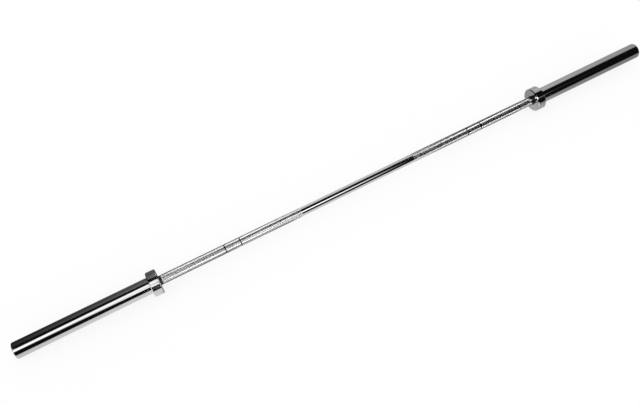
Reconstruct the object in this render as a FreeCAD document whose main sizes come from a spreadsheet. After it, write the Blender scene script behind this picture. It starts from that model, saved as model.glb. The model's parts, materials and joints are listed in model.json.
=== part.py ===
import FreeCAD, Part

import os
import re
from enum import IntEnum

import Sketcher

# Olympic barbell: a knurled bar with a sleeve that spins on each end.
# The bar lies along X with its middle at the origin, and +Z is up.

# Driving dimensions in millimetres, and shares of them, one cell of the sheet each
SIZES = {
    # Whole bar
    "overall_length": 2200,
    "between_collars": 1330,
    "cut_overrun": 1,
    # Shaft
    "grip_diameter": 28,
    "knurl_rise": 0.3,
    "knurl_lead": 0.6,
    "smooth_middle_length": 400,
    "neck_length": 8,
    "inner_marks_apart": 810,
    "outer_marks_apart": 910,
    "mark_width": 4,
    "mark_depth": 0.7,
    "shoulder_depth": 5,
    "shoulder_step": 1.5,
    "shoulder_chamfer": 0.5,
    "journal_end_land": 4,
    "journal_end_chamfer": 1.5,
    "centre_hole_diameter": 8,
    "centre_hole_depth": 7,
    # Sleeve
    "sleeve_diameter": 50,
    "sleeve_edge_round": 3,
    "sleeve_end_land": 0.2,
    "sleeve_mouth_chamfer": 0.8,
    "pocket_step_share": 0.7,
    # Collar
    "collar_diameter": 77,
    "collar_seat_step": 1,
    "collar_width": 30,
    "collar_chamfer": 2.5,
    # Bushings and washers
    "running_clearance": 0.05,
    "end_float": 0.3,
    "bushing_length": 40,
    "bushing_wall": 2.45,
    "bushing_chamfer": 0.8,
    "bushing_flange_thickness": 3,
    "grease_groove_width": 4,
    "grease_groove_depth": 0.8,
    "inner_washer_thickness": 2,
    "outer_washer_thickness": 2.5,
    "washer_clearance": 0.3,
    # Snap ring on the shaft
    "shaft_ring_thickness": 1.2,
    "shaft_ring_groove_depth": 0.55,
    "shaft_ring_wide_beam": 3,
    "shaft_ring_narrow_beam": 1.6,
    "shaft_ring_lug_share": 0.6,
    "shaft_ring_eye_share": 0.45,
    "shaft_ring_gap": 4,
    "ring_side_clearance": 0.1,
    # End cap with its seal and its snap ring
    "cap_recess": 4,
    "cap_room": 4.15,
    "cap_thickness": 5,
    "cap_clearance": 0.15,
    "cap_edge_chamfer": 0.5,
    "cap_rim_width": 5.35,
    "cap_dish_depth": 0.8,
    "seal_cord_diameter": 2,
    "seal_clearance": 0.1,
    "cap_ring_thickness": 1.75,
    "cap_ring_groove_depth": 1.25,
    "cap_ring_wide_beam": 4.1,
    "cap_ring_narrow_beam": 2.4,
    "cap_ring_lug_diameter": 5.4,
    "cap_ring_eye_share": 0.46,
    "cap_ring_gap": 9,
}

# Diameters that follow from steps, walls and fits, from the shaft outwards
KNURL = "(grip_diameter + 2 * knurl_rise)"
MARK_FLOOR = f"({KNURL} - 2 * mark_depth)"
JOURNAL = "(grip_diameter - 2 * shoulder_step)"
SHAFT_RING_FLOOR = f"({JOURNAL} - 2 * shaft_ring_groove_depth)"
BUSHING_BORE = f"({JOURNAL} + 2 * running_clearance)"
WASHER_BORE = f"({JOURNAL} + 2 * washer_clearance)"
SLEEVE_BORE = f"({BUSHING_BORE} + 2 * bushing_wall)"
CAP_SEAT = "(sleeve_diameter - 2 * (sleeve_edge_round + sleeve_end_land + sleeve_mouth_chamfer))"
POCKET = f"({SLEEVE_BORE} + pocket_step_share * ({CAP_SEAT} - {SLEEVE_BORE}))"
IN_POCKET = f"({POCKET} - 2 * washer_clearance)"
SHAFT_RING_LUG = f"(shaft_ring_lug_share * ({POCKET} - {SHAFT_RING_FLOOR}) / 2)"
CAP_DIAMETER = f"({CAP_SEAT} - 2 * cap_clearance)"
CAP_RING_FLOOR = f"({CAP_SEAT} + 2 * cap_ring_groove_depth)"
COLLAR_SEAT = "(sleeve_diameter + 2 * collar_seat_step)"

# Places along X, measured outwards from the middle of the bar
COLLAR_FACE = "(between_collars / 2)"
NECK = f"({COLLAR_FACE} - neck_length)"
SHOULDER = f"({COLLAR_FACE} + shoulder_depth)"
INNER_BUSHING = f"({SHOULDER} + inner_washer_thickness + end_float)"
CAP_RING = "(overall_length / 2 - cap_recess - cap_ring_thickness)"
CAP_FACE = f"({CAP_RING} - cap_thickness)"
CAP_SEAL = f"({CAP_FACE} + cap_thickness / 2)"
JOURNAL_END = f"({CAP_FACE} - cap_room)"
SHAFT_RING_GROOVE_END = f"({JOURNAL_END} - journal_end_land)"
SHAFT_RING = f"({SHAFT_RING_GROOVE_END} - ring_side_clearance - shaft_ring_thickness)"
OUTER_WASHER = f"({SHAFT_RING} - outer_washer_thickness)"
POCKET_BOTTOM = f"({OUTER_WASHER} - end_float - bushing_flange_thickness)"
OUTER_BUSHING = f"({POCKET_BOTTOM} - bushing_length)"


class Point(IntEnum):
    """A sketch's numbers for the points of a line or a circle."""

    START = 1
    END = 2
    CENTRE = 3


class Axis(IntEnum):
    """A sketch's numbers for its own two axes."""

    ALONG = -1
    UP = -2


ORIGIN = (Axis.ALONG, Point.START)

doc = FreeCAD.newDocument("barbell")
sheet = doc.addObject("Spreadsheet::Sheet", "Sizes")
for row, (name, number) in enumerate(SIZES.items(), 1):
    sheet.set(f"A{row}", name)
    sheet.set(f"B{row}", str(number))
    sheet.setAlias(f"B{row}", name)
doc.recompute()


def on_sheet(words):
    """A sum of size names as an expression that reads the sheet."""
    return re.sub("[a-z_]+", lambda name: f"Sizes.{name.group()}", words)


def number_of(words):
    return float(sheet.evalExpression(on_sheet(words)))


def bind(target, path, words):
    target.setExpression(path, on_sheet(words))


# Sketches


def origin_plane(body, role):
    return next(feature for feature in body.Origin.OriginFeatures if feature.Role == role)


def new_sketch(body, name, role):
    """An empty sketch on one of the body's own origin planes."""
    sketch = body.newObject("Sketcher::SketchObject", name)
    sketch.AttachmentSupport = [(origin_plane(body, role), "")]
    sketch.MapMode = "FlatFace"
    return sketch


def dimension(sketch, kind, *geometry, words):
    """A driven constraint whose value is a sum of sizes."""
    index = sketch.addConstraint(Sketcher.Constraint(kind, *geometry, number_of(words)))
    bind(sketch, f"Constraints[{index}]", words)


def hold(sketch, geometry, point, along, up):
    """Fixes a point of the sketch at two sums of sizes.

    "0" puts it on the axis itself, and a minus sign before a sum puts it on the other side.
    """
    for kind, axis, words in (("DistanceX", Axis.UP, along), ("DistanceY", Axis.ALONG, up)):
        if words == "0":
            sketch.addConstraint(Sketcher.Constraint("PointOnObject", geometry, point, axis))
        elif words.startswith("-"):
            dimension(sketch, kind, geometry, point, *ORIGIN, words=words[1:])
        else:
            dimension(sketch, kind, *ORIGIN, geometry, point, words=words)


def outline(sketch, corners):
    """A closed outline through (along, up) corners, each a sum of sizes."""
    places = [FreeCAD.Vector(number_of(along), number_of(up), 0) for along, up in corners]
    ends = places[1:] + places[:1]
    sides = [sketch.addGeometry(Part.LineSegment(a, b)) for a, b in zip(places, ends)]
    for side, following in zip(sides, sides[1:] + sides[:1]):
        sketch.addConstraint(Sketcher.Constraint("Coincident", side, Point.END, following, Point.START))
    for side, (along, up) in zip(sides, corners):
        hold(sketch, side, Point.START, along, up)


def free_circle(sketch, diameter, across, up):
    """A circle of a driven diameter, drawn at a place where its centre is still free."""
    centre = FreeCAD.Vector(across, up, 0)
    index = sketch.addGeometry(Part.Circle(centre, FreeCAD.Vector(0, 0, 1), number_of(diameter) / 2))
    dimension(sketch, "Diameter", index, words=diameter)
    return index


def circle(sketch, diameter, up="0"):
    """A circle whose centre lies on the upright axis, at a sum of sizes above the origin."""
    index = free_circle(sketch, diameter, 0, number_of(up))
    hold(sketch, index, Point.CENTRE, "0", up)


def circle_pair(sketch, diameter, half_apart, reach):
    """Two equal circles either side of the upright axis, at a driven reach from the origin."""
    across = number_of(half_apart)
    height = (number_of(reach) ** 2 - across**2) ** 0.5
    right, left = (free_circle(sketch, diameter, side, height) for side in (across, -across))
    dimension(sketch, "DistanceX", *ORIGIN, right, Point.CENTRE, words=half_apart)
    dimension(sketch, "Distance", *ORIGIN, right, Point.CENTRE, words=reach)
    centres = (right, Point.CENTRE, left, Point.CENTRE)
    sketch.addConstraint(Sketcher.Constraint("Symmetric", *centres, Axis.UP))


# Features


def checked_cut(feature, before):
    """Recomputes a cutting feature and makes sure that it took material away."""
    doc.recompute()
    if feature.Shape.isNull() or feature.Shape.Volume >= before:
        raise RuntimeError(f"{feature.Label} cuts nothing")
    return feature


def turned(body, name, corners):
    """A revolved outline of (place along the axis, diameter) corners."""
    sketch = new_sketch(body, f"{name}_profile", "XY_Plane")
    outline(sketch, [(along, "0" if across == "0" else f"{across} / 2") for along, across in corners])
    feature = body.newObject("PartDesign::Revolution", name)
    feature.Profile = sketch
    feature.ReferenceAxis = (sketch, ["H_Axis"])
    doc.recompute()
    return feature


def turned_groove(body, name, start, end, floor, mouth):
    """A square groove cut round the axis, between two places and two diameters."""
    before = body.Shape.Volume
    sketch = new_sketch(body, f"{name}_profile", "XY_Plane")
    low, high = ("0" if across == "0" else f"{across} / 2" for across in (floor, mouth))
    outline(sketch, [(start, low), (end, low), (end, high), (start, high)])
    feature = body.newObject("PartDesign::Groove", name)
    feature.Profile = sketch
    feature.ReferenceAxis = (sketch, ["H_Axis"])
    return checked_cut(feature, before)


def padded(body, name, sketch, thickness):
    """A sheet-metal form raised along the axis from the body's inner face."""
    feature = body.newObject("PartDesign::Pad", name)
    feature.Profile = sketch
    bind(feature, "Length", thickness)
    doc.recompute()
    return feature


def pierced(body, name, sketch):
    """A cut right through, both ways from the body's inner face."""
    before = body.Shape.Volume
    feature = body.newObject("PartDesign::Pocket", name)
    feature.Profile = sketch
    feature.Type = "ThroughAll"
    feature.SideType = "Symmetric"
    return checked_cut(feature, before)


def rim(feature, place, diameter):
    """Name of a turned feature's circular edge at a place and of a diameter."""
    at, across = number_of(place), number_of(diameter)
    off_by = {}
    for index, edge in enumerate(feature.Shape.Edges, 1):
        if isinstance(edge.Curve, Part.Circle):
            curve = edge.Curve
            off_by[f"Edge{index}"] = abs(curve.Center.x - at) + abs(2 * curve.Radius - across)
    return min(off_by, key=off_by.get)


def eased(body, kind, name, size, *places):
    """A Chamfer or Fillet of one size on the rims at (place, diameter) places."""
    base = body.Tip
    feature = body.newObject(f"PartDesign::{kind}", name)
    feature.Base = (base, [rim(base, *place) for place in places])
    bind(feature, "Radius" if kind == "Fillet" else "Size", size)
    doc.recompute()
    return feature


# Sub-parts, each modelled from its own inner face outwards


def make_shaft(body):
    turned(
        body,
        "half_bar",
        [
            ("0", "0"),
            ("0", "grip_diameter"),
            ("smooth_middle_length / 2", "grip_diameter"),
            ("smooth_middle_length / 2 + knurl_lead", KNURL),
            (f"{NECK} - knurl_lead", KNURL),
            (NECK, "grip_diameter"),
            (SHOULDER, "grip_diameter"),
            (SHOULDER, JOURNAL),
            (JOURNAL_END, JOURNAL),
            (JOURNAL_END, "centre_hole_diameter"),
            (f"{JOURNAL_END} - centre_hole_depth", "0"),
        ],
    )
    clear_of_knurl = f"({KNURL} + cut_overrun)"
    for name, apart in (("inner_mark", "inner_marks_apart"), ("outer_mark", "outer_marks_apart")):
        start, end = f"({apart} - mark_width) / 2", f"({apart} + mark_width) / 2"
        turned_groove(body, name, start, end, MARK_FLOOR, clear_of_knurl)
    clear_of_journal = f"({JOURNAL} + cut_overrun)"
    groove = SHAFT_RING, SHAFT_RING_GROOVE_END, SHAFT_RING_FLOOR, clear_of_journal
    turned_groove(body, "ring_groove", *groove)
    eased(body, "Chamfer", "shoulder_edge", "shoulder_chamfer", (SHOULDER, "grip_diameter"))
    eased(body, "Chamfer", "end_edge", "journal_end_chamfer", (JOURNAL_END, JOURNAL))
    mirror = body.newObject("PartDesign::Mirrored", "whole_bar")
    mirror.TransformMode = "Whole shape"
    mirror.MirrorPlane = (origin_plane(body, "YZ_Plane"), [""])
    body.Tip = mirror
    doc.recompute()


def make_sleeve(body):
    length = "(overall_length - between_collars) / 2"
    ring_start, ring_end = f"{CAP_RING} - {COLLAR_FACE}", f"{length} - cap_recess + ring_side_clearance"
    cap_face, pocket_bottom = f"{CAP_FACE} - {COLLAR_FACE}", f"{POCKET_BOTTOM} - {COLLAR_FACE}"
    turned(
        body,
        "tube",
        [
            ("0", SLEEVE_BORE),
            ("0", COLLAR_SEAT),
            ("collar_width", COLLAR_SEAT),
            ("collar_width", "sleeve_diameter"),
            (length, "sleeve_diameter"),
            (length, CAP_SEAT),
            (cap_face, CAP_SEAT),
            (cap_face, POCKET),
            (pocket_bottom, POCKET),
            (pocket_bottom, SLEEVE_BORE),
        ],
    )
    turned_groove(body, "ring_groove", ring_start, ring_end, POCKET, CAP_RING_FLOOR)
    eased(body, "Fillet", "outer_edge", "sleeve_edge_round", (length, "sleeve_diameter"))
    mouths = ("0", SLEEVE_BORE), (length, CAP_SEAT)
    eased(body, "Chamfer", "mouth_edges", "sleeve_mouth_chamfer", *mouths)


def make_collar(body):
    turned(
        body,
        "ring",
        [
            ("0", COLLAR_SEAT),
            ("0", "collar_diameter"),
            ("collar_width", "collar_diameter"),
            ("collar_width", COLLAR_SEAT),
        ],
    )
    outer_rims = ("0", "collar_diameter"), ("collar_width", "collar_diameter")
    eased(body, "Chamfer", "rim_edges", "collar_chamfer", *outer_rims)


def cut_grease_groove(body):
    start = "(bushing_length - grease_groove_width) / 2"
    end = "(bushing_length + grease_groove_width) / 2"
    turned_groove(body, "grease_groove", start, end, "0", f"({BUSHING_BORE} + 2 * grease_groove_depth)")


def make_inner_bushing(body):
    turned(
        body,
        "bush",
        [
            ("0", BUSHING_BORE),
            ("0", SLEEVE_BORE),
            ("bushing_length", SLEEVE_BORE),
            ("bushing_length", BUSHING_BORE),
        ],
    )
    cut_grease_groove(body)
    rim_places = ("0", SLEEVE_BORE), ("bushing_length", SLEEVE_BORE)
    eased(body, "Chamfer", "lead_in", "bushing_chamfer", *rim_places)


def make_outer_bushing(body):
    flange_face = "bushing_length + bushing_flange_thickness"
    turned(
        body,
        "flanged_bush",
        [
            ("0", BUSHING_BORE),
            ("0", SLEEVE_BORE),
            ("bushing_length", SLEEVE_BORE),
            ("bushing_length", IN_POCKET),
            (flange_face, IN_POCKET),
            (flange_face, BUSHING_BORE),
        ],
    )
    cut_grease_groove(body)
    eased(body, "Chamfer", "lead_in", "bushing_chamfer", ("0", SLEEVE_BORE))


def make_washer(body, outside, thickness):
    sketch = new_sketch(body, "washer_outline", "YZ_Plane")
    circle(sketch, outside)
    circle(sketch, WASHER_BORE)
    padded(body, "washer", sketch, thickness)


def make_inner_washer(body):
    make_washer(body, f"({SLEEVE_BORE} - 2 * washer_clearance)", "inner_washer_thickness")


def make_outer_washer(body):
    make_washer(body, IN_POCKET, "outer_washer_thickness")


def finish_snap_ring(body, ring, lug, lug_reach, gap_end):
    """Adds a tapered ring's two eyed lugs at the top and opens its gap between them."""
    half_apart = f"({ring}_gap + {lug}) / 2"
    lugs = new_sketch(body, "lug_outlines", "YZ_Plane")
    circle_pair(lugs, lug, half_apart, lug_reach)
    padded(body, "lugs", lugs, f"{ring}_thickness")
    eyes = new_sketch(body, "eye_outlines", "YZ_Plane")
    circle_pair(eyes, f"{ring}_eye_share * {lug}", half_apart, lug_reach)
    pierced(body, "eyes", eyes)
    opening = new_sketch(body, "gap_outline", "YZ_Plane")
    half_gap = f"{ring}_gap / 2"
    corners = [(f"-{half_gap}", "0"), (half_gap, "0"), (half_gap, gap_end), (f"-{half_gap}", gap_end)]
    outline(opening, corners)
    pierced(body, "gap", opening)


def make_shaft_ring(body):
    """External snap ring: round inside, widest opposite its gap, with lugs that stand outwards."""
    outside = f"({SHAFT_RING_FLOOR} + shaft_ring_wide_beam + shaft_ring_narrow_beam)"
    sketch = new_sketch(body, "ring_outline", "YZ_Plane")
    circle(sketch, SHAFT_RING_FLOOR)
    circle(sketch, outside, "-(shaft_ring_wide_beam - shaft_ring_narrow_beam) / 2")
    padded(body, "beam", sketch, "shaft_ring_thickness")
    lug_reach = f"({SHAFT_RING_FLOOR} + {SHAFT_RING_LUG}) / 2"
    finish_snap_ring(body, "shaft_ring", SHAFT_RING_LUG, lug_reach, f"{POCKET} / 2")


def make_cap_ring(body):
    """Internal snap ring: round outside, widest opposite its gap, with lugs that stand inwards."""
    inside = f"({CAP_RING_FLOOR} - cap_ring_wide_beam - cap_ring_narrow_beam)"
    sketch = new_sketch(body, "ring_outline", "YZ_Plane")
    circle(sketch, CAP_RING_FLOOR)
    circle(sketch, inside, "(cap_ring_wide_beam - cap_ring_narrow_beam) / 2")
    padded(body, "beam", sketch, "cap_ring_thickness")
    lug_reach = f"({CAP_RING_FLOOR} - cap_ring_lug_diameter) / 2"
    finish_snap_ring(body, "cap_ring", "cap_ring_lug_diameter", lug_reach, "sleeve_diameter / 2")


def make_end_cap(body):
    dish = f"({CAP_DIAMETER} - 2 * cap_rim_width)"
    dish_floor = "cap_thickness - cap_dish_depth"
    turned(
        body,
        "disc",
        [
            ("0", "0"),
            ("0", CAP_DIAMETER),
            ("cap_thickness", CAP_DIAMETER),
            ("cap_thickness", dish),
            (dish_floor, f"({dish} - 2 * cap_dish_depth)"),
            (dish_floor, "0"),
        ],
    )
    room = "(seal_cord_diameter + 2 * seal_clearance)"
    start, end = f"(cap_thickness - {room}) / 2", f"(cap_thickness + {room}) / 2"
    floor, mouth = f"({CAP_SEAT} - 2 * {room})", f"({CAP_SEAT} + cut_overrun)"
    turned_groove(body, "seal_groove", start, end, floor, mouth)
    edges = ("0", CAP_DIAMETER), ("cap_thickness", CAP_DIAMETER)
    eased(body, "Chamfer", "edge", "cap_edge_chamfer", *edges)


MAKERS = {
    "sleeve": (make_sleeve, COLLAR_FACE),
    "collar": (make_collar, COLLAR_FACE),
    "inner_bushing": (make_inner_bushing, INNER_BUSHING),
    "outer_bushing": (make_outer_bushing, OUTER_BUSHING),
    "inner_thrust_washer": (make_inner_washer, SHOULDER),
    "outer_thrust_washer": (make_outer_washer, OUTER_WASHER),
    "shaft_snap_ring": (make_shaft_ring, SHAFT_RING),
    "end_cap": (make_end_cap, CAP_FACE),
    "end_cap_snap_ring": (make_cap_ring, CAP_RING),
}
# Each end of the bar, with its half turn about the upright axis and its way along X
ENDS = {"right": (0, ""), "left": (180, "-")}


def place(piece, axis, angle, way, words):
    """Turns a piece about an axis and puts its inner face at a place on its end of the bar."""
    piece.Placement = FreeCAD.Placement(FreeCAD.Vector(), FreeCAD.Rotation(axis, angle))
    bind(piece, "Placement.Base.x", f"{way}{words}")


def make_seal(label):
    """Rubber ring round the cap, a hair clear of its groove and of the sleeve."""
    ring = doc.addObject("Part::Torus", label)
    bind(ring, "Radius1", f"({CAP_SEAT} - seal_cord_diameter) / 2 - seal_clearance")
    bind(ring, "Radius2", "seal_cord_diameter / 2")
    return ring


subparts = [doc.addObject("PartDesign::Body", "shaft")]
make_shaft(subparts[0])
for end, (half_turn, way) in ENDS.items():
    for piece, (make, inner_face) in MAKERS.items():
        body = doc.addObject("PartDesign::Body", f"{end}_{piece}")
        make(body)
        place(body, FreeCAD.Vector(0, 0, 1), half_turn, way, inner_face)
        subparts.append(body)
    seal = make_seal(f"{end}_end_cap_o_ring")
    place(seal, FreeCAD.Vector(0, 1, 0), 90, way, CAP_SEAL)
    subparts.append(seal)
for subpart in subparts:
    subpart.Label = subpart.Name
doc.recompute()

faulty = [item.Label for item in doc.Objects if {"Invalid", "Error"} & set(item.State)]
faulty += [item.Label for item in subparts if item.Shape.isNull() or not item.Shape.isValid()]
if faulty:
    raise RuntimeError(f"not built: {faulty}")

os.makedirs("parts", exist_ok=True)
for subpart in subparts:
    subpart.Shape.exportStep(f"parts/{subpart.Label}.step")
    print(subpart.Label, len(subpart.Shape.Solids), round(subpart.Shape.Volume))
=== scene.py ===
import json
import math

import bpy
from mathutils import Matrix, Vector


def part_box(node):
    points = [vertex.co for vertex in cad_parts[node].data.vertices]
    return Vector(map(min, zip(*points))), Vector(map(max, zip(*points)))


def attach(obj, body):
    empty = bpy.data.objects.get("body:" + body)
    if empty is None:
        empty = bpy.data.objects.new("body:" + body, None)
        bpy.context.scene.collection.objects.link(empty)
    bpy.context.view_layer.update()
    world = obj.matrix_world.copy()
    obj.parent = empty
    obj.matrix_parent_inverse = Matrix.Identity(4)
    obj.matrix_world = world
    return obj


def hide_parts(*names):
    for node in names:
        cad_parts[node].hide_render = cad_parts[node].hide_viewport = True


# Looks of a chromed olympic bar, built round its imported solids.
# Everything is in metres in the solids' own frame: the bar lies along X and +Z is up.

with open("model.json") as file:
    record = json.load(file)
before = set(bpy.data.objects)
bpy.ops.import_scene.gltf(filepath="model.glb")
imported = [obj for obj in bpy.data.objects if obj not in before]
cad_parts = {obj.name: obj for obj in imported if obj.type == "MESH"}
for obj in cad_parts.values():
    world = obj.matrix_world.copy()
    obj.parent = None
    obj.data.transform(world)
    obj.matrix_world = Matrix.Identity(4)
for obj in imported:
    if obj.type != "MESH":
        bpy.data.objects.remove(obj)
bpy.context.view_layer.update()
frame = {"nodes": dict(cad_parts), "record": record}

ENDS = {"right": 1, "left": -1}
MM = 0.001

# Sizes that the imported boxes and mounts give, read at the right end of the bar
MOUNTS = {mount["name"]: mount for mount in frame["record"]["mounts"]}
SLEEVE_RADIUS = MOUNTS["right_plate_sleeve"]["dims"]["r_mm"] * MM


def reach(node):
    """Inner end, outer end and radius of a round piece of the bar's right half."""
    low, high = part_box(node)
    return low.x, high.x, max(-low.z, high.z)


COLLAR_FACE, COLLAR_BACK, COLLAR_RADIUS = reach("right_collar")
_, SLEEVE_END, COLLAR_SEAT_RADIUS = reach("right_sleeve")
_, JOURNAL_END, KNURL_RADIUS = reach("shaft")
SHOULDER, _, _ = reach("right_inner_thrust_washer")
_, _, SLEEVE_BORE_RADIUS = reach("right_inner_bushing")
SHAFT_RING_FACE, SHAFT_RING_BACK, _ = reach("right_shaft_snap_ring")
_, FLANGE_FACE, FLANGE_RADIUS = reach("right_outer_bushing")
CAP_FACE, CAP_BACK, CAP_RADIUS = reach("right_end_cap")
_, CAP_RING_BACK, CAP_RING_RADIUS = reach("right_end_cap_snap_ring")

# Sizes of the shaft that its box doesn't give
GRIP_RADIUS = 14 * MM
JOURNAL_RADIUS = 12.5 * MM
JOURNAL_CHAMFER = 1.5 * MM
SHOULDER_CHAMFER = 0.5 * MM
RING_GROOVE_RADIUS = 11.95 * MM
RING_SIDE_CLEARANCE = 0.1 * MM
CENTRE_HOLE_RADIUS = 4 * MM
CENTRE_HOLE_DEPTH = 7 * MM
MIDDLE_HALF = 200 * MM
NECK_LENGTH = 8 * MM
MARK_PLACES = 405 * MM, 455 * MM
MARK_WIDTH = 4 * MM
MARK_RADIUS = 13.6 * MM

# Diamond knurling: starts round the bar, helix angle, depth from crest to root, and the shares of that
# depth between which a groove darkened with painted shade turns into a crest polished flat by wear
KNURL_STARTS = 60
KNURL_HELIX = math.radians(30)
KNURL_DEPTH = 0.45 * MM
CREST_SPAN = 0.1, 0.14
KNURL_PITCH = 2 * math.pi * KNURL_RADIUS / KNURL_STARTS / math.tan(KNURL_HELIX)

# Sizes of the collar, sleeve and end cap that their boxes don't give
COLLAR_CHAMFER = 2.5 * MM
SLEEVE_EDGE_ROUND = 3 * MM
SLEEVE_MOUTH_CHAMFER = 0.8 * MM
FLANGE_THICKNESS = 3 * MM
POCKET_CLEARANCE = 0.3 * MM
CAP_CLEARANCE = 0.15 * MM
CAP_EDGE_CHAMFER = 0.5 * MM
CAP_RIM_WIDTH = 5.35 * MM
CAP_DISH_DEPTH = 0.8 * MM
SEAL_GROOVE_WIDTH = 2.2 * MM
EDGE_BREAK = 0.3 * MM

# Fineness of the meshes, and how they are shaded and unrolled
SHAFT_SEGMENTS = 2 * KNURL_STARTS
ROUND_SEGMENTS = 192
ARC_STEPS = 6
HOLD_SHARE = 0.1
LONGEST_RUN = 30 * MM
SHARP_ANGLE = math.radians(28)
UV_MAP = "OFBake"
UV_MARGIN_SHARE = 0.01

# Places of the shaft's finishes among its materials
CHROME_INDEX = 0
KNURL_INDEX = 1
# The finish at this place is dark: on the necks beside the collars it is painted shade.
DARK_AND_SHADE_INDEX = 2

# The photograph's camera
PHOTO_WIDTH = 640
FOCAL_PIXELS = 700
SENSOR_WIDTH = 36
CAMERA_PLACE = (-0.5915, -0.8449, 1.9275)
CAMERA_HEADING = math.radians(28.464)
CAMERA_PITCH = math.radians(63.381)

# Fineness of the finishes
CLOUD_SCALE = 18.0
NOISE_SPAN = 0.3, 0.7
NOISE_DETAIL = 4.0

# The knurl's finish, whose grooves are darkened with painted shade
# The grooves' darker tone is painted shade.
GROOVE_SHADE_TONE = 0.3
CREST_TONE = 0.88
KNURL_ROUGHNESS = 0.14, 0.22
KNURL_GRAIN_SCALE = 3000.0
KNURL_GRAIN_DEPTH = 0.003 * MM

# The floor: its size, how far in front of the bar the painted light and shade that chrome mirrors in it
# change, and how much of its white takes the object's shadow
FLOOR_HALF = 60
FLOOR_CORNERS = (-1, -1), (1, -1), (1, 1), (-1, 1)
FAR_FRONT = 0.09
SHADOW_SHARE = 0.18

# What the chrome mirrors. A light is named after the part of the bar that shows it, and has a strength,
# levels by height and levels by the ray's lean along the bar. Heights go round the bar, in degrees from
# the front horizon over the top to the back one, and a light drops by its tilt over a lean of 1.
DARK_LEVEL = 0.006
LEFT_SLEEVE_TOP = {
    "strength": 1.55,
    "tilt": -24,
    "heights": ((64, 0), (68, 1), (88, 1), (94, 0)),
    "leans": ((-0.31, 0), (-0.27, 1), (-0.036, 1), (-0.03, 0)),
}
LEFT_SLEEVE_FRONT = {
    "strength": 1.6,
    "tilt": 47,
    "heights": ((40, 0), (45, 1), (57, 1), (61, 0)),
    "leans": ((-0.31, 0), (-0.27, 0.3), (-0.16, 0.4), (-0.06, 0.95), (-0.036, 1), (-0.03, 0)),
}
MIDDLE_SOFTBOX = {
    "strength": 2.8,
    "tilt": 0,
    "heights": ((45, 0), (50, 1), (62, 1), (69, 0)),
    "leans": ((0.168, 0), (0.178, 1), (0.24, 0.85), (0.29, 0.45), (0.32, 0.12), (0.345, 0)),
}
RIGHT_SLEEVE_STRIP = {
    "strength": 0.2,
    "tilt": 0,
    "heights": ((48, 0), (52, 1), (57, 1), (61, 0)),
    "leans": ((0.5, 0), (0.515, 1), (0.525, 1), (0.54, 0.2), (0.6, 0)),
}
LEFT_SLEEVE_WALL = {
    "strength": 0.22,
    "tilt": 33,
    "heights": ((117, 0), (122, 1), (135, 0.8), (160, 0.45)),
    "leans": ((-0.26, 0.1), (-0.21, 0.25), (-0.16, 0.5), (-0.11, 0.7), (-0.06, 0.95), (-0.036, 1),
              (-0.03, 0)),
}
MIDDLE_WALL = {
    "strength": 0.83,
    "tilt": 10,
    "heights": ((126, 0), (133, 1)),
    "leans": ((0.168, 0), (0.178, 1), (0.36, 1), (0.37, 0)),
}
RIGHT_SLEEVE_WALL = {
    "strength": 0.62,
    "tilt": 24,
    "heights": ((124, 0), (136, 1)),
    "leans": ((0.503, 0), (0.513, 1), (0.63, 0.68), (0.68, 0.68), (0.7, 0)),
}
KNURL_FLANK_SOFTBOX = {
    "strength": 2.3,
    "tilt": -60,
    "heights": ((88, 0), (94, 1), (116, 1), (128, 0)),
    "leans": ((-0.94, 0), (-0.9, 1), (-0.27, 1), (-0.25, 0)),
}
KNURL_FLANK_STRIP = {
    "strength": 1.1,
    "tilt": 0,
    "heights": ((18, 0), (22, 1), (38, 1), (42, 0)),
    "leans": ((0.76, 0), (0.79, 1), (0.87, 1), (0.93, 0.25), (0.96, 0)),
}
LEFT_GRIP_FRONT = {
    "strength": 4.2,
    "tilt": 22,
    "heights": ((8, 0), (14, 1), (30, 1), (36, 0)),
    "leans": ((-0.03, 0), (-0.02, 1), (0.04, 0.66), (0.1, 0.75), (0.16, 0.55), (0.17, 0)),
}
LEFT_GRIP_TOP = {
    "strength": 5,
    "tilt": -9,
    "heights": ((47, 0), (53, 1), (58, 1), (64, 0)),
    "leans": ((0.03, 0), (0.1, 0.52), (0.16, 1), (0.17, 0)),
}
LEFT_GRIP_HIGH = {
    "strength": 3.3,
    "tilt": 91,
    "heights": ((87, 0), (93, 1), (95, 1), (101, 0)),
    "leans": ((-0.03, 0), (-0.02, 0.48), (0.04, 0.59), (0.1, 0), (0.16, 1), (0.17, 0)),
}
LEFT_GRIP_BACK = {
    "strength": 2.4,
    "tilt": -80,
    "heights": ((114, 0), (120, 1), (160, 1), (172, 0.3)),
    "leans": ((-0.03, 0), (-0.02, 1), (0.04, 0.25), (0.1, 0.8), (0.16, 0.45), (0.17, 0)),
}
RIGHT_GRIP_BACK = {
    "strength": 3.4,
    "tilt": -250,
    "heights": ((-8, 0), (-2, 1), (18, 1), (24, 0)),
    "leans": ((0.362, 0), (0.372, 0.85), (0.43, 0.6), (0.493, 1), (0.503, 0)),
}
RIGHT_GRIP_FRONT = {
    "strength": 8.5,
    "tilt": -13,
    "heights": ((-10, 0), (-4, 1), (-3, 1), (3, 0)),
    "leans": ((0.362, 0), (0.372, 0.15), (0.43, 0.42), (0.493, 1), (0.503, 0)),
}
COLLAR_AND_CAP_LIGHTS = {
    "strength": 1,
    "tilt": 0,
    "heights": ((-180, 1), (180, 1)),
    "leans": ((-0.98, 1), (-0.95, 0), (0.975, 0), (0.99, 1)),
}
LIGHTS = (
    LEFT_SLEEVE_TOP, LEFT_SLEEVE_FRONT, MIDDLE_SOFTBOX, RIGHT_SLEEVE_STRIP,
    LEFT_SLEEVE_WALL, MIDDLE_WALL, RIGHT_SLEEVE_WALL,
    KNURL_FLANK_SOFTBOX, KNURL_FLANK_STRIP,
    LEFT_GRIP_FRONT, LEFT_GRIP_TOP, LEFT_GRIP_HIGH, LEFT_GRIP_BACK,
    RIGHT_GRIP_FRONT, RIGHT_GRIP_BACK,
    COLLAR_AND_CAP_LIGHTS,
)
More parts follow.
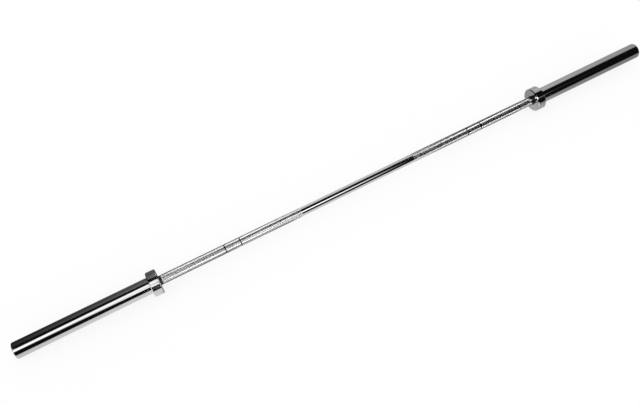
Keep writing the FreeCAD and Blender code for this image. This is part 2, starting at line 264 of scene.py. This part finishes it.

# Painted light and shade on the floor along the bar, which only the chrome mirrors: levels in strips
# close in front of the bar, far in front of it and behind it
PAINTED_FLOOR_REFLECTIONS = {
    "front": ((-1.1, 0.82), (-0.9, 0.93), (-0.68, 0.93), (-0.65, 0.3), (-0.45, 0.3), (-0.4, 0.75),
              (-0.35, 0.75), (-0.24, 0.25), (-0.2, 0.93), (0.27, 0.93), (0.33, 0.36), (0.45, 0.49),
              (0.59, 0.1), (0.64, 0.6), (0.66, 0.62), (0.75, 0.47), (0.9, 0.33), (1.1, 0.3)),
    "far": ((-1.1, 0.82), (-0.9, 0.93), (-0.66, 0.93), (-0.62, 1), (-0.5, 0.58), (-0.4, 0.29),
            (-0.24, 0.68), (-0.2, 0.93), (0.27, 0.93), (0.33, 0.9), (0.45, 1), (0.59, 1), (0.64, 0.6),
            (0.66, 0.62), (0.75, 0.47), (0.9, 0.33), (1.1, 0.3)),
    "back": ((-1.1, 0.02), (-0.7, 0.15), (-0.6, 0.1), (-0.25, 0.1), (-0.2, 0.9), (0.22, 0.9),
             (0.27, 0.1), (0.56, 0.1), (0.59, 0.4), (0.64, 0.4), (0.7, 0.6), (1.1, 0.4)),
}


# Meshes


def eased(corners):
    """A profile of (x, radius, edge) corners as points, each corner rounded to its edge radius.

    A point close to each end of a round holds the shading of the straight run beside it.
    """
    points = []
    for index, (x, radius, edge) in enumerate(corners):
        if not edge:
            points.append((x, radius))
            continue
        before, after = corners[index - 1], corners[index + 1]
        ways = []
        for other in (before, after):
            dx, dr = other[0] - x, other[1] - radius
            length = math.hypot(dx, dr)
            ways.append((dx / length, dr / length))
        (ax, ar), (bx, br) = ways
        half = math.acos(max(-1, min(1, ax * bx + ar * br))) / 2
        trim = edge / math.tan(half)
        middle = edge / math.sin(half) / math.hypot(ax + bx, ar + br)
        centre = x + (ax + bx) * middle, radius + (ar + br) * middle
        start = math.atan2(radius + ar * trim - centre[1], x + ax * trim - centre[0])
        end = math.atan2(radius + br * trim - centre[1], x + bx * trim - centre[0])
        turn = (end - start + math.pi) % (2 * math.pi) - math.pi
        held = trim + edge * HOLD_SHARE
        points.append((x + ax * held, radius + ar * held))
        for step in range(ARC_STEPS + 1):
            angle = start + turn * step / ARC_STEPS
            points.append((centre[0] + edge * math.cos(angle), centre[1] + edge * math.sin(angle)))
        points.append((x + bx * held, radius + br * held))
    return points


def split_runs(points):
    """The same profile with its long straight runs cut into shorter ones."""
    cut = [points[0]]
    for (ax, ar), (bx, br) in zip(points, points[1:]):
        parts = max(1, math.ceil(math.hypot(bx - ax, br - ar) / LONGEST_RUN))
        cut += [(ax + (bx - ax) * i / parts, ar + (br - ar) * i / parts) for i in range(1, parts + 1)]
    return cut


def ring_mesh(name, rings, segments):
    """A mesh of rings round X. A ring is (x, radius of even columns, radius of odd columns).

    Where the two radii of a ring differ, the faces beside it are the flanks of diamonds. A ring of no
    radius is a single point, and a last ring that repeats the first closes the mesh.
    """
    closed = rings[0] == rings[-1]
    places, first_of_row = [], []
    for row, (x, *radii) in enumerate(rings):
        if closed and row == len(rings) - 1:
            first_of_row.append(0)
            continue
        first_of_row.append(len(places))
        for column in range(segments if radii[0] else 1):
            angle = 2 * math.pi * column / segments
            radius = radii[column % 2]
            places.append((x, radius * math.cos(angle), radius * math.sin(angle)))

    def vertex(row, column):
        return first_of_row[row] + (column % segments if rings[row][1] else 0)

    faces, knurled = [], []
    for row, (ring, following) in enumerate(zip(rings, rings[1:])):
        rough = ring[1] != ring[2] or following[1] != following[2]
        even_is_crest = ring[1] > ring[2] or following[1] < following[2]
        for column in range(segments):
            a, b = (row, column), (row, column + 1)
            c, d = (row + 1, column), (row + 1, column + 1)
            if not ring[1]:
                made = [(a, d, c)]
            elif not following[1]:
                made = [(a, b, c)]
            elif not rough:
                made = [(a, b, d, c)]
            elif even_is_crest == (column % 2 == 0):
                made = [(a, b, c), (d, c, b)]
            else:
                made = [(a, d, c), (a, b, d)]
            faces += made
            knurled += [rough] * len(made)
    mesh = bpy.data.meshes.new(name)
    mesh.from_pydata(places, [], [[vertex(*corner) for corner in face] for face in faces])
    mesh.polygons.foreach_set("use_smooth", [not rough for rough in knurled])
    finishes = [KNURL_INDEX if rough else CHROME_INDEX for rough in knurled]
    mesh.polygons.foreach_set("material_index", finishes)
    unroll(mesh, rings, segments, faces)
    mesh.set_sharp_from_angle(angle=SHARP_ANGLE)
    return mesh


def unroll(mesh, rings, segments, faces):
    """Lays the rings out flat, as strips of the profile's length stacked in a square."""
    run = [0.0]
    for ring, following in zip(rings, rings[1:]):
        run.append(run[-1] + math.hypot(following[0] - ring[0], following[1] - ring[1]))
    girth = 2 * math.pi * max(ring[1] for ring in rings)
    strips = max(1, round(math.sqrt(run[-1] / girth)))
    strip_of = [min(strips - 1, int(strips * (a + b) / 2 / run[-1])) for a, b in zip(run, run[1:])]
    begins = [run[strip_of.index(strip)] for strip in range(strips)]
    ends = [run[len(strip_of) - strip_of[::-1].index(strip)] for strip in range(strips)]
    longest = max(end - begin for begin, end in zip(begins, ends))
    room = 1 - 2 * UV_MARGIN_SHARE
    flat = []
    for face in faces:
        strip = strip_of[min(row for row, column in face)]
        for row, column in face:
            along = (run[row] - begins[strip]) / longest
            flat.append(UV_MARGIN_SHARE + room * along)
            flat.append((strip + UV_MARGIN_SHARE + room * column / segments) / strips)
    mesh.uv_layers.new(name=UV_MAP).uv.foreach_set("vector", flat)


def add_piece(mesh, body, slot, *materials, replaces):
    """Shows a mesh in place of a CAD node, riding on its body."""
    for material in materials:
        mesh.materials.append(material)
    piece = bpy.data.objects.new(mesh.name, mesh)
    bpy.context.scene.collection.objects.link(piece)
    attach(piece, body)
    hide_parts(replaces)
    return piece


def lathe_mesh(name, corners, way):
    """A turned piece whose profile is drawn for the right end; way -1 makes the left one."""
    points = [(way * x, radius) for x, radius in split_runs(eased(corners))]
    return ring_mesh(name, [(x, radius, radius) for x, radius in points[::way]], ROUND_SEGMENTS)


# Pieces


def knurl_rings(start, end):
    """Rings of one knurled stretch, whose crests alternate from ring to ring."""
    rows = 2 * round((end - start) / KNURL_PITCH)
    root = KNURL_RADIUS - KNURL_DEPTH
    for row in range(1, rows):
        heights = (KNURL_RADIUS, root) if row % 2 else (root, KNURL_RADIUS)
        yield (start + (end - start) * row / rows, *heights)


def half_shaft_rings():
    """Rings of the shaft from its middle to its right end."""
    def smooth(*points):
        return [(x, radius, radius) for x, radius in points]

    neck = COLLAR_FACE - NECK_LENGTH
    held = MIDDLE_HALF - EDGE_BREAK
    rings = smooth(*split_runs([(0, GRIP_RADIUS), (held, GRIP_RADIUS), (MIDDLE_HALF, GRIP_RADIUS)]))
    start = MIDDLE_HALF
    for place in MARK_PLACES:
        edges = place - MARK_WIDTH / 2, place + MARK_WIDTH / 2
        rings += knurl_rings(start, edges[0])
        rings += smooth(
            (edges[0], GRIP_RADIUS),
            (edges[0], MARK_RADIUS),
            (edges[1], MARK_RADIUS),
            (edges[1], GRIP_RADIUS),
        )
        start = edges[1]
    rings += knurl_rings(start, neck)
    ring_groove_end = SHAFT_RING_BACK + RING_SIDE_CLEARANCE
    rings += smooth(*split_runs([
        (neck, GRIP_RADIUS),
        (SHOULDER - SHOULDER_CHAMFER, GRIP_RADIUS),
        (SHOULDER, GRIP_RADIUS - SHOULDER_CHAMFER),
        (SHOULDER, JOURNAL_RADIUS),
        (SHAFT_RING_FACE, JOURNAL_RADIUS),
        (SHAFT_RING_FACE, RING_GROOVE_RADIUS),
        (ring_groove_end, RING_GROOVE_RADIUS),
        (ring_groove_end, JOURNAL_RADIUS),
        (JOURNAL_END - JOURNAL_CHAMFER, JOURNAL_RADIUS),
        (JOURNAL_END, JOURNAL_RADIUS - JOURNAL_CHAMFER),
        (JOURNAL_END, CENTRE_HOLE_RADIUS),
        (JOURNAL_END - CENTRE_HOLE_DEPTH, 0),
    ]))
    return rings


def add_shaft(chrome, knurl, dark_rings_and_shade):
    """The shaft, chromed but for its dark mark rings and the necks beside the collars, whose dark
    finish is painted shade.
    """
    half = half_shaft_rings()
    mirrored = [(-x, even, odd) for x, even, odd in half[:0:-1]]
    mesh = ring_mesh("knurled_shaft", mirrored + half, SHAFT_SEGMENTS)
    # The necks' dark finish is painted shade beside the collars; the mark rings are dark too.
    dark_and_shade_spans = [(place - MARK_WIDTH / 2, place + MARK_WIDTH / 2) for place in MARK_PLACES]
    dark_and_shade_spans.append((COLLAR_FACE - NECK_LENGTH, SHOULDER))
    for face in mesh.polygons:
        if any(start <= abs(face.center.x) <= end for start, end in dark_and_shade_spans):
            face.material_index = DARK_AND_SHADE_INDEX
    add_piece(mesh, "bar", "knurled_chrome", chrome, knurl, dark_rings_and_shade, replaces="shaft")


def add_sleeve(end, way, chrome):
    """A sleeve: a bored tube with a seat for its collar, and a pocket and cap seat in its outer end."""
    pocket = FLANGE_RADIUS + POCKET_CLEARANCE
    pocket_bottom = FLANGE_FACE - FLANGE_THICKNESS
    cap_seat = CAP_RADIUS + CAP_CLEARANCE
    ring_groove_end = CAP_RING_BACK + RING_SIDE_CLEARANCE
    corners = [
        (COLLAR_FACE, SLEEVE_BORE_RADIUS + SLEEVE_MOUTH_CHAMFER, 0),
        (COLLAR_FACE, COLLAR_SEAT_RADIUS, 0),
        (COLLAR_BACK, COLLAR_SEAT_RADIUS, 0),
        (COLLAR_BACK, SLEEVE_RADIUS, 0),
        (SLEEVE_END, SLEEVE_RADIUS, SLEEVE_EDGE_ROUND),
        (SLEEVE_END, cap_seat + SLEEVE_MOUTH_CHAMFER, 0),
        (SLEEVE_END - SLEEVE_MOUTH_CHAMFER, cap_seat, 0),
        (ring_groove_end, cap_seat, 0),
        (ring_groove_end, CAP_RING_RADIUS, 0),
        (CAP_BACK, CAP_RING_RADIUS, 0),
        (CAP_BACK, cap_seat, 0),
        (CAP_FACE, cap_seat, 0),
        (CAP_FACE, pocket, 0),
        (pocket_bottom, pocket, 0),
        (pocket_bottom, SLEEVE_BORE_RADIUS, 0),
        (COLLAR_FACE + SLEEVE_MOUTH_CHAMFER, SLEEVE_BORE_RADIUS, 0),
        (COLLAR_FACE, SLEEVE_BORE_RADIUS + SLEEVE_MOUTH_CHAMFER, 0),
    ]
    mesh = lathe_mesh(f"{end}_plate_sleeve", corners, way)
    add_piece(mesh, f"{end}_sleeve_assembly", "polished_chrome", chrome, replaces=f"{end}_sleeve")


def add_collar(end, way, chrome):
    """A collar: a chamfered ring on the inner end of its sleeve."""
    corners = [
        (COLLAR_FACE, COLLAR_SEAT_RADIUS, 0),
        (COLLAR_FACE, COLLAR_RADIUS - COLLAR_CHAMFER, EDGE_BREAK),
        (COLLAR_FACE + COLLAR_CHAMFER, COLLAR_RADIUS, EDGE_BREAK),
        (COLLAR_BACK - COLLAR_CHAMFER, COLLAR_RADIUS, EDGE_BREAK),
        (COLLAR_BACK, COLLAR_RADIUS - COLLAR_CHAMFER, EDGE_BREAK),
        (COLLAR_BACK, COLLAR_SEAT_RADIUS, 0),
        (COLLAR_FACE, COLLAR_SEAT_RADIUS, 0),
    ]
    mesh = lathe_mesh(f"{end}_stop_collar", corners, way)
    add_piece(mesh, f"{end}_sleeve_assembly", "polished_chrome", chrome, replaces=f"{end}_collar")


def add_cap(end, way, metal):
    """An end cap: a dished disc with a groove for its o-ring."""
    dish = CAP_RADIUS - CAP_RIM_WIDTH
    seal_middle = (CAP_FACE + CAP_BACK) / 2
    seal_floor = CAP_RADIUS + CAP_CLEARANCE - SEAL_GROOVE_WIDTH
    corners = [
        (CAP_FACE, 0, 0),
        (CAP_FACE, CAP_RADIUS - CAP_EDGE_CHAMFER, 0),
        (CAP_FACE + CAP_EDGE_CHAMFER, CAP_RADIUS, 0),
        (seal_middle - SEAL_GROOVE_WIDTH / 2, CAP_RADIUS, 0),
        (seal_middle - SEAL_GROOVE_WIDTH / 2, seal_floor, 0),
        (seal_middle + SEAL_GROOVE_WIDTH / 2, seal_floor, 0),
        (seal_middle + SEAL_GROOVE_WIDTH / 2, CAP_RADIUS, 0),
        (CAP_BACK - CAP_EDGE_CHAMFER, CAP_RADIUS, 0),
        (CAP_BACK, CAP_RADIUS - CAP_EDGE_CHAMFER, 0),
        (CAP_BACK, dish, EDGE_BREAK),
        (CAP_BACK - CAP_DISH_DEPTH, dish - CAP_DISH_DEPTH, EDGE_BREAK),
        (CAP_BACK - CAP_DISH_DEPTH, 0, 0),
    ]
    mesh = lathe_mesh(f"{end}_cap_disc", corners, way)
    add_piece(mesh, f"{end}_sleeve_assembly", "cap_aluminium", metal, replaces=f"{end}_end_cap")


# Materials


def add_node(tree, kind, inputs=None, **settings):
    """Adds a shader node, with its settings, and sets or links its inputs."""
    made = tree.nodes.new(f"ShaderNode{kind}")
    for name, value in settings.items():
        setattr(made, name, value)
    for name, value in (inputs or {}).items():
        if isinstance(value, bpy.types.NodeSocket):
            tree.links.new(value, made.inputs[name])
        else:
            made.inputs[name].default_value = value
    return made


def maths(tree, operation, first, second=0):
    return add_node(tree, "Math", {0: first, 1: second}, operation=operation).outputs["Value"]


def spread(tree, value, start, end, low, high):
    """A number that runs from low to high while the value runs from start to end."""
    spans = {"From Min": start, "From Max": end, "To Min": low, "To Max": high}
    return add_node(tree, "MapRange", {"Value": value, **spans}).outputs["Result"]


def curve(tree, value, *stops):
    """A level that follows (value, level) stops."""
    low, high = stops[0], stops[-1]
    ramp = add_node(tree, "ValToRGB", {"Fac": spread(tree, value, low[0], high[0], 0, 1)})
    elements = ramp.color_ramp.elements
    elements[0].color, elements[1].color = grey(low[1]), grey(high[1])
    for place, level in stops[1:-1]:
        elements.new((place - low[0]) / (high[0] - low[0])).color = grey(level)
    return ramp.outputs["Color"]


def grey(level):
    return (level, level, level, 1)


def noise(tree, where, scale):
    inputs = {"Vector": where, "Scale": scale, "Detail": NOISE_DETAIL}
    return add_node(tree, "TexNoise", inputs).outputs["Fac"]


def blended(tree, factor, first, second, kind="RGBA"):
    node = add_node(tree, "Mix", {"Factor": factor, "A": first, "B": second}, data_type=kind)
    return node.outputs["Result"]


def unit(tree, vector):
    return add_node(tree, "VectorMath", {0: vector}, operation="NORMALIZE").outputs["Vector"]


def new_material(name):
    """A material, its node tree, its shader and the object's own coordinates."""
    material = bpy.data.materials.new(name)
    material.use_nodes = True
    tree = material.node_tree
    where = add_node(tree, "TexCoord").outputs["Object"]
    return material, tree, tree.nodes["Principled BSDF"], where


def along_and_across(tree, where):
    """Place along the bar, and the way out from its axis."""
    parts = add_node(tree, "SeparateXYZ", {"Vector": where}).outputs
    across = add_node(tree, "CombineXYZ", {"Y": parts["Y"], "Z": parts["Z"]}).outputs["Vector"]
    return parts["X"], across


def radius_at(tree, where):
    """Place along the bar and distance from its axis."""
    along, across = along_and_across(tree, where)
    return along, add_node(tree, "VectorMath", {0: across}, operation="LENGTH").outputs["Value"]


def set_surface(tree, shader, colour, roughness, height, depth, normal=None):
    """Links a tone, a gloss and a relief to the shader. The relief lies on the normal, if given."""
    bump = add_node(tree, "Bump", {"Height": height, "Strength": 1.0, "Distance": depth})
    if normal:
        tree.links.new(normal, bump.inputs["Normal"])
    tree.links.new(colour, shader.inputs["Base Color"])
    tree.links.new(roughness, shader.inputs["Roughness"])
    tree.links.new(bump.outputs["Normal"], shader.inputs["Normal"])


def turned_metal(name, dark, light, roughness, lines, depth):
    """Metal with a slow change of tone, and with fine lathe lines in its gloss and relief."""
    material, tree, shader, where = new_material(name)
    x, radius = radius_at(tree, where)
    place = add_node(tree, "CombineXYZ", {"X": x, "Y": radius}).outputs["Vector"]
    line = noise(tree, place, lines)
    colour = blended(tree, noise(tree, where, CLOUD_SCALE), dark, light)
    set_surface(tree, shader, colour, spread(tree, line, *NOISE_SPAN, *roughness), line, depth)
    shader.inputs["Metallic"].default_value = 1
    return material


def crest_normal(tree, where, crest_share):
    """The flanks' own direction, which turns straight out from the bar on the crests polished flat by
    wear.
    """
    _, across = along_and_across(tree, where)
    outward = add_node(tree, "VectorTransform", {"Vector": across}, vector_type="NORMAL",
                       convert_from="OBJECT", convert_to="WORLD").outputs["Vector"]
    flank = add_node(tree, "NewGeometry").outputs["Normal"]
    return unit(tree, blended(tree, crest_share, flank, unit(tree, outward), kind="VECTOR"))


def knurled_chrome(name):
    """Chrome over the diamonds, with crests polished flat by wear and grooves darkened with painted
    shade.
    """
    material, tree, shader, where = new_material(name)
    _, radius = radius_at(tree, where)
    height = spread(tree, radius, KNURL_RADIUS - KNURL_DEPTH, KNURL_RADIUS, 0, 1)
    crest_share = spread(tree, height, *CREST_SPAN, 0, 1)
    grain = noise(tree, where, KNURL_GRAIN_SCALE)
    # Painted shade: the tone darkens from the crests down into the grooves.
    colour = blended(tree, crest_share, grey(GROOVE_SHADE_TONE), grey(CREST_TONE))
    roughness = spread(tree, grain, *NOISE_SPAN, *KNURL_ROUGHNESS)
    normal = crest_normal(tree, where, crest_share)
    set_surface(tree, shader, colour, roughness, grain, KNURL_GRAIN_DEPTH, normal)
    shader.inputs["Metallic"].default_value = 1
    return material


def grained(name, dark, light, roughness, scale, depth, metallic):
    """A surface with an even grain in its tone, gloss and relief."""
    material, tree, shader, where = new_material(name)
    grain = noise(tree, where, scale)
    colour = blended(tree, spread(tree, grain, *NOISE_SPAN, 0, 1), dark, light)
    set_surface(tree, shader, colour, spread(tree, grain, *NOISE_SPAN, *roughness), grain, depth)
    shader.inputs["Metallic"].default_value = metallic
    return material


def paint(node, material):
    """Gives a CAD node that stays in view its finish."""
    mesh = frame["nodes"][node].data
    mesh.materials.clear()
    mesh.materials.append(material)


# Stage


def add_floor():
    """A white floor under the collars, which keeps a soft shadow. Chrome mirrors it in strips of
    painted light and shade.
    """
    mesh = bpy.data.meshes.new("floor")
    corners = [(x * FLOOR_HALF, y * FLOOR_HALF, -COLLAR_RADIUS) for x, y in FLOOR_CORNERS]
    mesh.from_pydata(corners, [], [(0, 1, 2, 3)])
    floor = bpy.data.objects.new("floor", mesh)
    bpy.context.scene.collection.objects.link(floor)
    material, tree, shader, where = new_material("pale_floor")
    tree.nodes.remove(shader)
    white = add_node(tree, "Emission", {"Color": grey(1)}).outputs[0]
    matt = add_node(tree, "BsdfDiffuse", {"Color": grey(1)}).outputs[0]
    seen = add_node(tree, "MixShader", {0: SHADOW_SHARE, 1: white, 2: matt}).outputs[0]
    parts = add_node(tree, "SeparateXYZ", {"Vector": where}).outputs
    strips = {name: curve(tree, parts["X"], *stops) for name, stops in PAINTED_FLOOR_REFLECTIONS.items()}
    is_far = maths(tree, "LESS_THAN", parts["Y"], -FAR_FRONT)
    is_back = maths(tree, "GREATER_THAN", parts["Y"])
    front = blended(tree, is_far, strips["front"], strips["far"])
    level = blended(tree, is_back, front, strips["back"])
    # Painted reflection: for glossy rays only, the floor glows at the painted levels of light and
    # shade.
    mirrored = add_node(tree, "Emission", {"Color": level}).outputs[0]
    glossy = add_node(tree, "LightPath").outputs["Is Glossy Ray"]
    shown = add_node(tree, "MixShader", {0: glossy, 1: seen, 2: mirrored}).outputs[0]
    tree.links.new(shown, tree.nodes["Material Output"].inputs["Surface"])
    mesh.materials.append(material)


def add_world():
    """Even white light, and for the chrome to mirror, a dark studio with the lights listed above."""
    world = bpy.data.worlds.new("studio")
    bpy.context.scene.world = world
    world.use_nodes = True
    world.cycles.sampling_method = "NONE"
    tree = world.node_tree
    where = add_node(tree, "TexCoord").outputs["Generated"]
    parts = add_node(tree, "SeparateXYZ", {"Vector": where}).outputs
    toward = maths(tree, "MULTIPLY", parts["Y"], -1)
    height = maths(tree, "DEGREES", maths(tree, "ARCTAN2", parts["Z"], toward))
    level = DARK_LEVEL
    for light in LIGHTS:
        drop = maths(tree, "MULTIPLY", parts["X"], light["tilt"])
        by_height = curve(tree, maths(tree, "ADD", height, drop), *light["heights"])
        shown = maths(tree, "MULTIPLY", by_height, curve(tree, parts["X"], *light["leans"]))
        level = maths(tree, "ADD", level, maths(tree, "MULTIPLY", shown, light["strength"]))
    even = tree.nodes["Background"]
    even.inputs["Color"].default_value = grey(1)
    studio = add_node(tree, "Background", {"Color": level}).outputs[0]
    glossy = add_node(tree, "LightPath").outputs["Is Glossy Ray"]
    shown = add_node(tree, "MixShader", {0: glossy, 1: even.outputs[0], 2: studio}).outputs[0]
    tree.links.new(shown, tree.nodes["World Output"].inputs["Surface"])


def add_camera():
    """The photograph's camera."""
    data = bpy.data.cameras.new("camera")
    data.sensor_width = SENSOR_WIDTH
    data.lens = FOCAL_PIXELS / PHOTO_WIDTH * SENSOR_WIDTH
    camera = bpy.data.objects.new("camera", data)
    camera.location = CAMERA_PLACE
    camera.rotation_euler = (math.pi / 2 - CAMERA_PITCH, 0, -CAMERA_HEADING)
    bpy.context.scene.collection.objects.link(camera)
    bpy.context.scene.camera = camera


# The scene

chrome = turned_metal("polished_chrome", dark=grey(0.58), light=grey(0.65), roughness=(0.03, 0.07),
                      lines=1200.0, depth=0.0015 * MM)
knurl = knurled_chrome("knurled_chrome")
# A dark finish for the mark rings, and painted shade on the necks beside the collars.
dark_rings_and_shade = grained("dark_rings_and_neck_shade", dark=grey(0.03), light=grey(0.09), roughness=(0.28, 0.42),
               scale=1200.0, depth=0.01 * MM, metallic=1)
aluminium = turned_metal("turned_aluminium", dark=(0.60, 0.61, 0.62, 1), light=(0.70, 0.71, 0.72, 1),
                         roughness=(0.22, 0.38), lines=2500.0, depth=0.008 * MM)
steel = turned_metal("ground_steel", dark=grey(0.42), light=grey(0.52), roughness=(0.25, 0.4),
                     lines=3000.0, depth=0.004 * MM)
black_steel = grained("black_oxide", dark=grey(0.03), light=grey(0.07), roughness=(0.32, 0.5),
                      scale=900.0, depth=0.02 * MM, metallic=1)
bronze = grained("sintered_bronze", dark=(0.30, 0.18, 0.07, 1), light=(0.62, 0.40, 0.19, 1),
                 roughness=(0.3, 0.55), scale=2500.0, depth=0.03 * MM, metallic=1)
rubber = grained("seal_rubber", dark=grey(0.012), light=grey(0.03), roughness=(0.55, 0.75),
                 scale=1500.0, depth=0.03 * MM, metallic=0)

# CAD nodes of each end that stay in view, with their finishes
KEPT_NODES = {
    "inner_bushing": bronze,
    "outer_bushing": bronze,
    "inner_thrust_washer": steel,
    "outer_thrust_washer": steel,
    "shaft_snap_ring": black_steel,
    "end_cap_snap_ring": black_steel,
    "end_cap_o_ring": rubber,
}

add_shaft(chrome, knurl, dark_rings_and_shade)
for end, way in ENDS.items():
    add_sleeve(end, way, chrome)
    add_collar(end, way, chrome)
    add_cap(end, way, aluminium)
    for node, material in KEPT_NODES.items():
        paint(f"{end}_{node}", material)
add_floor()
add_world()
add_camera()
bpy.context.scene.view_settings.view_transform = "Standard"
